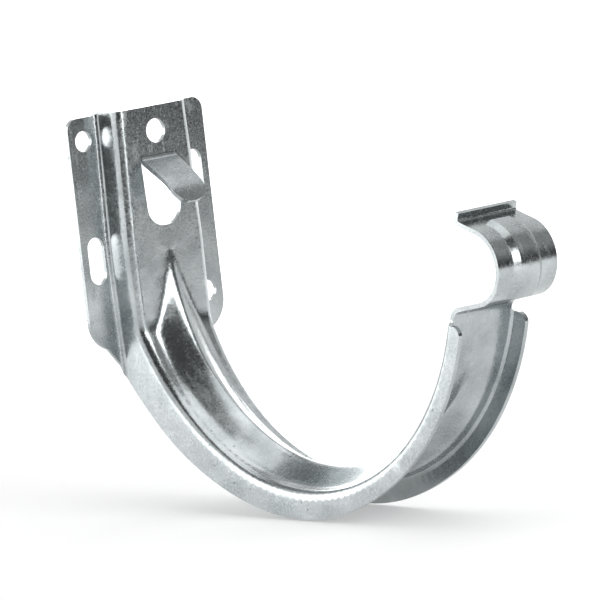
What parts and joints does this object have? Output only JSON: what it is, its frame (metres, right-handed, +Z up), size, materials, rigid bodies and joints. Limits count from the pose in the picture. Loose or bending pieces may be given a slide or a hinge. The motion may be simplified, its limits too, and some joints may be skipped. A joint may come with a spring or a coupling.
{
  "type": "gutter bracket",
  "caption": "Half-round gutter bracket pressed from one steel sheet: slotted wall plate, ribbed curved arm, retaining tongue and a front hook for the gutter's bead.",
  "frame": {"origin": "on the wall plane, in the middle of the bracket's width, at the height of the gutter's centre", "axes": "+X out from the wall, +Y along the gutter, +Z up"},
  "size_m": [0.1594, 0.0488, 0.1124],
  "materials": {
    "galvanised_steel": "hot-dip galvanised, dull grey with fine speckle"
  },
  "bodies": {
    "root": {"gutter_bracket": "galvanised_steel"}
  },
  "joints": []
}
